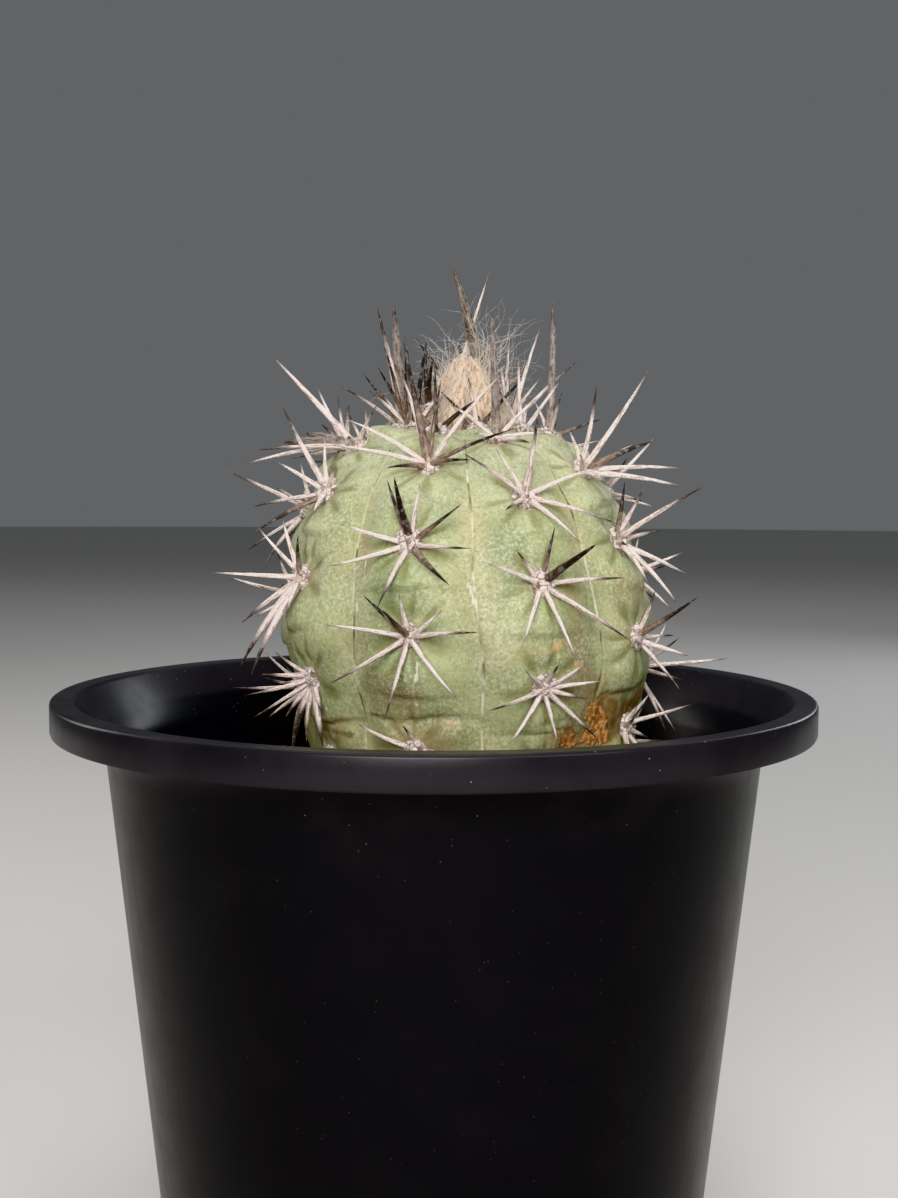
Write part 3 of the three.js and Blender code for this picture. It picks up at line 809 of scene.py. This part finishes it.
# Spines
spineValues = {
    "sides": 9,
    "rows": 14,
    "arch": 0.05,             # bow of a flat spine, as a share of its length
    "sway": 0.02,             # bend to a side, the same way
    "stoutFrom": 1.45,        # millimetres: thicker spines are central ones
    "footSwell": 0.4,
    "wobble": 0.05,
    "ridges": 0.05,           # depth of the three ridges along a spine
    "footBlend": 0.2,         # share of the length where the foot's colour ends
    "tipBlend": (0.16, 0.12), # shares of the length before and after the tip's start
    "pixelReach": 9,          # a tip within this many pixels of one in kindAtPixel is that spine's
    "facing": -0.05,          # metres: areoles turned further from the camera are not in the picture
}

# Foot, shaft and tip colour of each kind of spine, the share of the length where the tip begins, its girth,
# and its taper: 1 is a straight cone, less keeps its girth longer
spineKinds = {
    "pale": ((0.55, 0.43, 0.37), (0.84, 0.755, 0.72), (0.12, 0.085, 0.07), 0.88, 0.78, 0.66),
    "greyTipped": ((0.55, 0.43, 0.38), (0.75, 0.65, 0.615), (0.065, 0.048, 0.04), 0.7, 0.78, 0.66),
    "grey": ((0.42, 0.345, 0.31), (0.27, 0.23, 0.21), (0.08, 0.06, 0.05), 0.86, 1.12, 0.45),
    "olive": ((0.22, 0.18, 0.135), (0.15, 0.125, 0.092), (0.1, 0.08, 0.06), 0.92, 1.75, 0.75),
    "brown": ((0.46, 0.35, 0.29), (0.24, 0.17, 0.135), (0.03, 0.022, 0.018), 0.52, 0.82, 0.68),
    "dark": ((0.34, 0.26, 0.22), (0.075, 0.053, 0.043), (0.018, 0.013, 0.011), 0.45, 0.9, 0.6),
}

# Spines whose kind the picture shows, by the pixel of their tip
kindAtPixel = {
    (468, 462): "brown", (387, 476): "dark", (392, 475): "dark", (385, 474): "dark", (384, 617): "brown",
    (508, 449): "brown", (555, 415): "brown", (477, 455): "greyTipped", (563, 527): "brown",
    (597, 550): "dark", (556, 428): "dark", (287, 397): "greyTipped", (344, 462): "dark",
    (299, 503): "dark", (304, 529): "dark", (633, 478): "brown", (449, 264): "olive", (489, 273): "pale",
    (395, 306): "grey", (384, 298): "greyTipped", (497, 312): "grey", (553, 309): "grey", (446, 372): "dark",
    (278, 350): "pale", (640, 367): "greyTipped", (705, 490): "greyTipped", (365, 597): "brown",
    (413, 377): "brown", (406, 345): "brown", (427, 375): "pale", (385, 374): "pale", (462, 387): "dark",
    (362, 362): "dark", (373, 331): "greyTipped", (581, 358): "greyTipped", (593, 367): "pale",
    (584, 385): "pale", (565, 387): "pale", (469, 341): "dark", (469, 350): "grey",
}


# Kinds of the other spines, each with the share of them that it and those before it make up
kindShares = {
    "crown": [("dark", 0.45), ("brown", 0.75), ("grey", 1)],
    "young": [("dark", 0.15), ("brown", 0.4), ("greyTipped", 0.75), ("pale", 1)],
    "stout": [("greyTipped", 0.6), ("grey", 0.85), ("brown", 1)],
    "others": [("greyTipped", 0.4), ("brown", 0.46), ("pale", 1)],
}


def kindOfSpine(spine, areole, rng):
    tip = pixelOf(spine["tip"])
    best = min(kindAtPixel, key=lambda place: (tip - Vector(place)).length)
    stout = spine["thickness"] > spineValues["stoutFrom"] * mm
    facing = areole["out"].dot(Vector(cameraView["eye"]) - areole["seat"]) > spineValues["facing"]
    if (tip - Vector(best)).length < spineValues["pixelReach"] and (facing or areole["inWool"]):
        kind = kindAtPixel[best]
        return "brown" if kind == "dark" and not (stout or areole["inWool"]) else kind
    group = "stout" if stout else "others"
    if areole["inWool"]:
        group = "crown"
    elif areole["node"].endswith("areole_1"):
        group = "young"
    chance = rng.random()
    return next(kind for kind, upTo in kindShares[group] if chance < upTo)


def sweptSpine(spine, areole, kind, rng):
    # rings of a tapering horn from the felt to the tip, bowed away from the stem
    v = spineValues
    start, tip = spine["start"], spine["tip"]
    axis = tip - start
    length = axis.length
    axis.normalize()
    flat = 1 - max(0, axis.dot(areole["out"]))
    bow = areole["out"] - axis * axis.dot(areole["out"])
    bow = bow.normalized() if bow.length > 0.05 else areole["up"]
    bowHeight = length * v["arch"] * (0.25 + flat) * rng.uniform(0.6, 1.3)
    sway = axis.cross(bow).normalized() * length * rng.uniform(-v["sway"], v["sway"])
    across = axis.orthogonal().normalized()
    over = axis.cross(across)
    foot, shaft, point, tipFrom, girth, fullness = spineKinds[kind]
    radius = spine["thickness"] / 2 * girth
    phase = rng.uniform(0, 6)
    before, after = v["tipBlend"]
    vertices, colours, around = [], [], []
    for row in range(v["rows"] + 1):
        share = row / v["rows"]
        arch = 4 * share * (1 - share)
        middle = start + axis * length * share + bow * bowHeight * arch + sway * arch
        taper = (1 - share) ** fullness * 0.98 + 0.03 * (1 - share ** 8)
        swell = 1 + v["footSwell"] * math.exp(-share * 18) + v["wobble"] * math.sin(share * 31 + phase)
        blendFoot = easeBetween(share, 0.0, v["footBlend"])
        blendTip = easeBetween(share, tipFrom - before, min(1.0, tipFrom + after))
        tone = [f + (s - f) * blendFoot for f, s in zip(foot, shaft)]
        tone = [t + (p - t) * blendTip for t, p in zip(tone, point)]
        for side in range(v["sides"]):
            angle = 2 * math.pi * side / v["sides"]
            r = radius * taper * swell * (1 + v["ridges"] * math.sin(3 * angle + phase))
            vertices.append(middle + across * r * math.cos(angle) + over * r * math.sin(angle))
            colours.append((*tone, 1))
            around.append((side / v["sides"], share * length / mm))
    vertices.append(tip)
    colours.append((*point, 1))
    around.append((0.5, length / mm))
    faces = [[*reversed(range(v["sides"]))]]
    for row in range(v["rows"]):
        for side in range(v["sides"]):
            a = row * v["sides"] + side
            b = row * v["sides"] + (side + 1) % v["sides"]
            faces.append([a, b, b + v["sides"], a + v["sides"]])
    last = v["rows"] * v["sides"]
    faces += [[last + side, last + (side + 1) % v["sides"], len(vertices) - 1] for side in range(v["sides"])]
    return vertices, faces, colours, around


def makeSpines(areole, horn, rng):
    vertices, faces, colours, around = [], [], [], []
    for spine in areole["spines"]:
        kind = kindOfSpine(spine, areole, rng)
        points, sides, tones, places = sweptSpine(spine, areole, kind, rng)
        addShape(vertices, faces, points, sides)
        colours += tones
        around += places
    piece = meshPiece(areole["node"].replace("areole", "spines"), vertices, faces)
    paintColours(piece, "tint", colours)
    layer = piece.data.uv_layers.new(name="alongSpine")
    for loop in piece.data.loops:
        layer.data[loop.index].uv = around[loop.vertex_index]
    shadeSmooth(piece, 60)
    finishPiece(piece, horn, [areole["node"]])


def spineHorn():
    f = Finish("spine_horn", 0.42, 0.4)
    f.shader.inputs["Subsurface Weight"].default_value = 0.08
    f.shader.inputs["Subsurface Radius"].default_value = (0.0006, 0.0004, 0.0003)
    f.shader.inputs["Subsurface Scale"].default_value = 1.0
    uv = f.nodes.new("ShaderNodeUVMap")
    uv.uv_map = "alongSpine"
    fibres = f.cloud(1, source=f.stretched(uv.outputs["UV"], (9, 0.5, 1)), detail=4)
    rings = f.cloud(1, source=f.stretched(uv.outputs["UV"], (1.5, 3.2, 1)), detail=3)
    flakes = f.steps(f.cloud(0.8 * mm, detail=5), 0.5, 0.62)
    tint = f.painted("tint", "Color")
    shaded = f.blend(f.steps(rings, 0.4, 0.7, 0.0, 0.45), tint, (0.5, 0.4, 0.35), "MULTIPLY")
    tone = f.blend(f.steps(fibres, 0.49, 0.59, 0.0, 0.72), shaded, (0.3, 0.22, 0.18), "MULTIPLY")
    tone = f.blend(f.times(flakes, 0.16), tone, (0.72, 0.68, 0.64))
    f.colour(tone)
    f.rough(f.steps(fibres, 0.3, 0.7, 0.34, 0.6))
    f.height(fibres, 0.06 * mm, 0.8)
    f.height(rings, 0.05 * mm, 0.5)
    return f.material


# Felt cushions that the spines grow from
feltValues = {
    "width": 3.7,             # millimetres
    "length": 4.1,
    "rise": 1.25,
    "lumps": 0.42,
    "hairs": 34,
    "hairLength": (0.4, 1.1),
    "hairRadius": 0.045,
    "hairsFrom": 0.3,         # millimetres above the cushion's middle
    "hairCurl": 0.35,
    "wool": ((0.4, 0.3, 0.25), (0.86, 0.78, 0.74)),
    "gapShade": (0.2, 0.11, 0.075),
    "bits": (0.15, 0.075, 0.045),
}


def tuftHair(root, direction, length, radius, steps, curl, rng):
    # a three-sided hair that wanders: curl is how far it turns at each step, in radians
    vertices, faces = [], []
    heading = direction.normalized()
    place = root.copy()
    for step in range(steps + 1):
        across = heading.orthogonal().normalized()
        over = heading.cross(across)
        r = radius * (1 - 0.75 * step / steps)
        for side in range(3):
            angle = side * 2 * math.pi / 3
            vertices.append(place + across * r * math.cos(angle) + over * r * math.sin(angle))
        wander = Vector((rng.uniform(-1, 1), rng.uniform(-1, 1), rng.uniform(-1, 1)))
        heading = (heading + wander * curl).normalized()
        place = place + heading * length / steps
    for step in range(steps):
        for side in range(3):
            a = step * 3 + side
            b = step * 3 + (side + 1) % 3
            faces.append([a, b, b + 3, a + 3])
    faces.append([2, 1, 0])
    faces.append([steps * 3, steps * 3 + 1, steps * 3 + 2])
    return vertices, faces


def makeFelt(areole, surface, felt, rng):
    v = feltValues
    seat, normal, _, _ = surface.find_nearest(areole["seat"])
    if areole["inWool"]:
        seat, normal = areole["seat"], areole["out"]
    deselectAll()
    bpy.ops.mesh.primitive_ico_sphere_add(subdivisions=4, radius=1)
    pad = bpy.context.object
    stand = Matrix((areole["side"], areole["up"], normal)).transposed()
    size = rng.uniform(0.88, 1.08)
    for vertex in pad.data.vertices:
        co = vertex.co.copy()
        lumpy = noise.noise(co * 2.8 + seat * 900) * 1.2 + noise.noise(co * 6 + seat * 900) * 0.7
        co *= 1 + v["lumps"] * lumpy * 0.5
        shaped = Vector((co.x * v["width"] / 2, co.y * v["length"] / 2, co.z * v["rise"])) * size * mm
        vertex.co = seat + stand @ shaped
    vertices = [vertex.co.copy() for vertex in pad.data.vertices]
    faces = [list(polygon.vertices) for polygon in pad.data.polygons]
    outer = [co for co in vertices if (co - seat).dot(normal) > v["hairsFrom"] * mm]
    for _ in range(v["hairs"]):
        root = rng.choice(outer)
        away = (root - seat).normalized() + normal * 0.6
        length = rng.uniform(*v["hairLength"]) * mm
        foot = root - away * 0.1 * mm
        hair = tuftHair(foot, away, length, v["hairRadius"] * mm, 3, v["hairCurl"], rng)
        addShape(vertices, faces, *hair)
    bpy.data.objects.remove(pad)
    piece = meshPiece(areole["node"].replace("areole", "felt"), vertices, faces)
    shadeSmooth(piece, 80)
    finishPiece(piece, felt)


def areoleFelt():
    f = Finish("areole_felt", 0.95, 0.1)
    f.shader.inputs["Sheen Weight"].default_value = 0.5
    f.shader.inputs["Sheen Roughness"].default_value = 0.5
    tufts = f.cloud(0.45 * mm, detail=5, roughness=0.7)
    tone = f.blend(f.steps(tufts, 0.36, 0.56), *feltValues["wool"])
    # painted shade in the gaps between the tufts
    gapShade = f.steps(f.cells(1.15 * mm, "DISTANCE_TO_EDGE"), 0.02, 0.14, 0.75, 0.0)
    tone = f.blend(gapShade, tone, feltValues["gapShade"])
    tone = f.blend(f.steps(f.cloud(1.7 * mm, detail=4), 0.54, 0.64, 0.0, 0.8), tone, feltValues["bits"])
    f.colour(tone)
    f.height(tufts, 0.35 * mm, 0.9)
    return f.material


# Crown wool
woolValues = {
    "voxel": 0.5,             # millimetres
    "smoothing": (0.8, 6),    # factor and rounds
    "folds": (6, 0.8),        # number round the cone, and depth
    "fluff": 0.16,
    "hairs": 1000,
    "hairLength": (0.9, 2.8),
    "hairRadius": 0.04,
    "loose": [                # picture boxes of loose hairs: left, right, top, bottom, and how many
        (432, 466, 310, 366, 80), (488, 526, 288, 386, 110),
    ],
    "looseBehind": 90,
    "looseDepth": 5,          # millimetres before or behind the pot's axis, at most
    "looseRoot": 7,           # millimetres that a loose hair starts below its end
    "looseRadius": 0.03,
    "collarHairs": 420,       # on the areoles round the wool
    "collarFrom": 36,         # millimetres above the rim
    "collarSpread": 1.6,
    "collarLength": (0.8, 2.4),
    "strands": ((0.34, 0.23, 0.15), (0.66, 0.52, 0.4)),
    "crackShade": (0.18, 0.11, 0.065),
    "paleHairs": ((0.5, 0.4, 0.31), (0.85, 0.79, 0.72)),
}


def makeWoolMound():
    mound = copyOfNode("crown_wool", "wool_mound")
    applyModifier(mound, "REMESH", mode="VOXEL", voxel_size=woolValues["voxel"] * mm)
    factor, rounds = woolValues["smoothing"]
    applyModifier(mound, "SMOOTH", factor=factor, iterations=rounds)
    low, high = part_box("crown_wool")
    middle = (low + high) / 2
    number, depth = woolValues["folds"]
    for vertex in mound.data.vertices:
        away = vertex.co - middle
        turn = math.atan2(away.y, away.x) + 0.3 * noise.noise(vertex.co / (9 * mm))
        upright = math.sin(number * turn) * (1 - easeBetween(vertex.co.z, high.z - 2 * mm, high.z))
        tufts = noise.noise(vertex.co / (2.2 * mm)) + 0.6 * noise.noise(vertex.co / (0.9 * mm))
        vertex.co = vertex.co + vertex.normal * (tufts * woolValues["fluff"] + upright * depth) * mm
    shadeSmooth(mound, 180)
    return mound


def makeWoolHairs(mound, areoles, surface, rng):
    v = woolValues
    vertices, faces = [], []
    thickness = v["hairRadius"] * mm
    polygons = list(mound.data.polygons)
    for _ in range(v["hairs"]):
        polygon = rng.choice(polygons)
        length = rng.uniform(*v["hairLength"]) * mm
        direction = polygon.normal * 0.35 + Vector((0, 0, 1))
        addShape(vertices, faces, *tuftHair(polygon.center.copy(), direction, length, thickness, 6, 0.3, rng))
    # loose curly hairs in the places where the picture shows them, each from the nearest wool
    woolSurface = BVHTree.FromObject(mound, bpy.context.evaluated_depsgraph_get())
    eye = Vector(cameraView["eye"])
    targets = []
    for left, right, top, bottom, number in v["loose"]:
        for _ in range(number):
            ray = rayThrough(rng.uniform(left, right), rng.uniform(top, bottom))
            depth = rng.uniform(-v["looseDepth"], v["looseDepth"]) * mm
            targets.append(eye + ray * ((depth - eye.y) / ray.y))
    low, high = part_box("crown_wool")
    for _ in range(v["looseBehind"]):
        place = Vector([rng.uniform(a, b) for a, b in zip(low, high)])
        targets.append(place + Vector((0, rng.uniform(2, 7), rng.uniform(1, 9))) * mm)
    for target in targets:
        root = woolSurface.find_nearest(target - Vector((0, 0, v["looseRoot"] * mm)))[0]
        away = target - root
        hair = tuftHair(root, away, away.length * 1.1, v["looseRadius"] * mm, 9, 0.6, rng)
        addShape(vertices, faces, *hair)
    young = [a for a in areoles if a["seat"].z > rimTop + v["collarFrom"] * mm]
    for _ in range(v["collarHairs"]):
        areole = rng.choice(young)
        root = areole["seat"] + Vector((rng.gauss(0, 1), rng.gauss(0, 1), 0)) * v["collarSpread"] * mm
        if not areole["inWool"]:
            root = surface.find_nearest(root)[0]
        direction = areole["out"] + areole["up"] * 0.5 + Vector((0, 0, 0.8))
        length = rng.uniform(*v["collarLength"]) * mm
        addShape(vertices, faces, *tuftHair(root, direction, length, thickness, 5, 0.45, rng))
    return meshPiece("wool_hairs", vertices, faces)


def crownWool(name, pale):
    f = Finish(name, 0.95, 0.1)
    f.shader.inputs["Sheen Weight"].default_value = 0.6
    f.shader.inputs["Sheen Roughness"].default_value = 0.5
    if pale:
        tone = f.blend(f.cloud(2 * mm, detail=3), *woolValues["paleHairs"])
    else:
        strands = f.cloud(0.42 * mm, detail=4, roughness=0.65, source=f.stretched(f.place, (1, 1, 0.16)))
        tone = f.blend(f.steps(strands, 0.36, 0.58), *woolValues["strands"])
        # painted shade in the cracks between the strands
        crackShade = f.cloud(2.6 * mm, detail=4, source=f.stretched(f.place, (1, 1, 0.5)))
        tone = f.blend(f.steps(crackShade, 0.58, 0.72, 0.0, 0.4), tone, woolValues["crackShade"])
        f.height(strands, 0.14 * mm, 0.8)
    f.colour(tone)
    return f.material


# Studio
studioValues = {
    "floorRadius": 6.0,       # metres
    "floorSides": 128,
    "floorColours": ((0.66, 0.65, 0.63), (0.64, 0.63, 0.61)),
    "lampsAimAt": (0, 0, 0.11),
    "lamps": [   # name, place, width and height, power in watts, colour
        ("key", (-0.03, -0.6, 0.33), (0.36, 0.26), 4.2, (1.0, 0.985, 0.965)),
        ("fill", (0.45, -0.5, 0.5), (0.35, 0.35), 1.7, (1.0, 0.97, 0.94)),
        ("overhead", (0.0, -0.05, 0.7), (0.4, 0.4), 1.3, (1.0, 0.99, 0.98)),
        ("ceiling", (0.0, 0.9, 1.5), (2.5, 1.5), 6.0, (0.97, 0.98, 1.0)),
        ("left_strip", (-0.7, 0.3, 0.4), (0.2, 0.5), 1.6, (1.0, 0.97, 0.94)),
        ("right_strip", (0.6, 0.9, 0.5), (0.3, 0.4), 1.6, (0.9, 0.94, 1.0)),
    ],
    "ambient": (0.8, 0.82, 0.85),
    "ambientStrength": 0.2,
    "viewTransform": "Khronos PBR Neutral",
}


def makeFloor():
    deselectAll()
    bpy.ops.mesh.primitive_circle_add(
        vertices=studioValues["floorSides"], radius=studioValues["floorRadius"], fill_type="NGON",
    )
    floor = bpy.context.object
    floor.name = "studio_floor"
    f = Finish("pale_floor", 0.8, 0.3)
    grain = f.cloud(30 * mm, detail=5)
    f.colour(f.blend(f.times(grain, 0.2), *studioValues["floorColours"]))
    f.height(f.cloud(1.5 * mm, detail=3), 0.05 * mm, 0.3)
    floor.data.materials.append(f.material)


def makeLamps():
    for name, place, (width, height), power, colour in studioValues["lamps"]:
        data = bpy.data.lights.new(name, "AREA")
        data.shape = "RECTANGLE"
        data.size = width
        data.size_y = height
        data.energy = power
        data.color = colour
        lamp = bpy.data.objects.new(name, data)
        bpy.context.scene.collection.objects.link(lamp)
        lamp.location = place
        aim = Vector(studioValues["lampsAimAt"]) - Vector(place)
        lamp.rotation_euler = aim.to_track_quat("-Z", "Y").to_euler()
    world = bpy.data.worlds.new("studio")
    world.use_nodes = True
    sky = world.node_tree.nodes["Background"]
    sky.inputs["Color"].default_value = (*studioValues["ambient"], 1)
    sky.inputs["Strength"].default_value = studioValues["ambientStrength"]
    bpy.context.scene.world = world
    bpy.context.scene.view_settings.view_transform = studioValues["viewTransform"]


# Assembly
makeCamera()
makeFloor()
makeLamps()
rng = random.Random(11)

finishPiece(makePot(), blackPlastic(), ["pot"])
print("pot made")

bed = makeSoilBed()
finishPiece(bed, soilFinish("soil_bed", False), ["soil"])
finishPiece(makeSoilGrains(rng, bed), soilFinish("soil_grains", True))
print("soil made")

areoles = readAreoles()
print("areoles read:", len(areoles), "with", sum(len(a["spines"]) for a in areoles), "spines")

stem = makeStem(areoles)
finishPiece(stem, waxySkin(), ["stem"])
stemSurface = BVHTree.FromObject(stem, bpy.context.evaluated_depsgraph_get())
print("stem made:", len(stem.data.polygons), "faces")

horn, felt = spineHorn(), areoleFelt()
for areole in areoles:
    makeSpines(areole, horn, rng)
    makeFelt(areole, stemSurface, felt, rng)
print("spines and felt made")

mound = makeWoolMound()
finishPiece(mound, crownWool("wool_mound", False), ["crown_wool"])
finishPiece(makeWoolHairs(mound, areoles, stemSurface, rng), crownWool("wool_hairs", True))
print("crown wool made")
